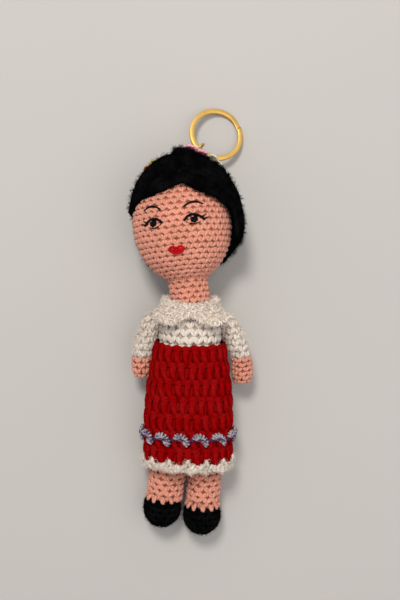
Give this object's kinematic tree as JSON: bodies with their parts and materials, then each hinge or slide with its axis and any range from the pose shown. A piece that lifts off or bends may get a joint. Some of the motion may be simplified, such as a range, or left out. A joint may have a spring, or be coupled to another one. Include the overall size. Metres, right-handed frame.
{
  "type": "amigurumi keychain doll",
  "caption": "Small crocheted doll with stuffed body, yarn hair with flowers, frilled blouse and skirt, hung from its crown on a split key ring.",
  "frame": {"origin": "under the middle of the doll's bounding box, on the surface it lies on", "axes": "+Y from the shoes to the crown and key ring, +Z out of the face, +X to the doll's left"},
  "size_m": [0.0534, 0.1928, 0.0429],
  "materials": {
    "skin_yarn": "soft crochet yarn",
    "hair_yarn": "fuzzy brushed acrylic yarn",
    "white_yarn": "soft crochet yarn",
    "fluffy_white_yarn": "fluffy brushed yarn",
    "red_yarn": "soft crochet yarn",
    "lavender_yarn": "soft crochet yarn",
    "black_yarn": "soft crochet yarn",
    "pink_yarn": "soft crochet yarn",
    "cream_yarn": "soft crochet yarn",
    "orange_yarn": "soft crochet yarn",
    "leaf_yarn": "soft crochet yarn",
    "polyester_fibre": "loose white fibre",
    "gold_wire": "polished gold-coloured plating"
  },
  "bodies": {
    "torso": {"blouse_body": "white_yarn", "torso_stuffing": "polyester_fibre", "collar_frill": "fluffy_white_yarn", "skirt": "red_yarn", "skirt_trim": "lavender_yarn", "skirt_hem": "fluffy_white_yarn"},
    "neck": {"neck_tube": "skin_yarn", "neck_stuffing": "polyester_fibre"},
    "head": {"head_shell": "skin_yarn", "head_stuffing": "polyester_fibre", "hair_cap": "hair_yarn", "crown_roll": "hair_yarn", "pink_flower": "pink_yarn", "cream_flower": "cream_yarn", "orange_flower": "orange_yarn", "green_leaf": "leaf_yarn", "hanging_loop": "white_yarn"},
    "left_arm": {"left_sleeve": "white_yarn", "left_hand": "skin_yarn"},
    "right_arm": {"right_sleeve": "white_yarn", "right_hand": "skin_yarn"},
    "left_leg": {"left_leg": "skin_yarn", "left_leg_stuffing": "polyester_fibre", "left_shoe": "black_yarn"},
    "right_leg": {"right_leg": "skin_yarn", "right_leg_stuffing": "polyester_fibre", "right_shoe": "black_yarn"},
    "jump_ring": {"jump_ring": "gold_wire"},
    "key_ring": {"key_ring": "gold_wire"}
  },
  "joints": [
    {"name": "neck_nod", "type": "hinge", "parent": "torso", "child": "neck", "pos_m": [-0.00011, 0.00581, 0.0214], "axis": [1, 0, 0], "range_deg": [-8, 10]},
    {"name": "head_turn", "type": "hinge", "parent": "neck", "child": "head", "pos_m": [-0.00139, 0.01844, 0.0214], "axis": [-0.1011, 0.9949, 0], "range_deg": [-25, 25]},
    {"name": "left_arm_swing", "type": "hinge", "parent": "torso", "child": "left_arm", "pos_m": [0.01341, 0.00396, 0.02121], "axis": [0, 0, 1], "range_deg": [0, 55]},
    {"name": "right_arm_swing", "type": "hinge", "parent": "torso", "child": "right_arm", "pos_m": [-0.01368, 0.00447, 0.02126], "axis": [0, 0, -1], "range_deg": [0, 55]},
    {"name": "left_leg_swing", "type": "hinge", "parent": "torso", "child": "left_leg", "pos_m": [0.0079, -0.04033, 0.01394], "axis": [-1, 0, 0], "range_deg": [0, 8]},
    {"name": "right_leg_swing", "type": "hinge", "parent": "torso", "child": "right_leg", "pos_m": [-0.0083, -0.04002, 0.01397], "axis": [-1, 0, 0], "range_deg": [0, 8]},
    {"name": "jump_ring_swing", "type": "hinge", "parent": "head", "child": "jump_ring", "pos_m": [0.00339, 0.07681, 0.01105], "axis": [0.6691, -0.7431, 0], "range_deg": [-20, 40]},
    {"name": "key_ring_swing", "type": "hinge", "parent": "jump_ring", "child": "key_ring", "pos_m": [0.00339, 0.07681, 0.0083], "axis": [0.6691, -0.7431, 0], "range_deg": [-60, 50]}
  ]
}
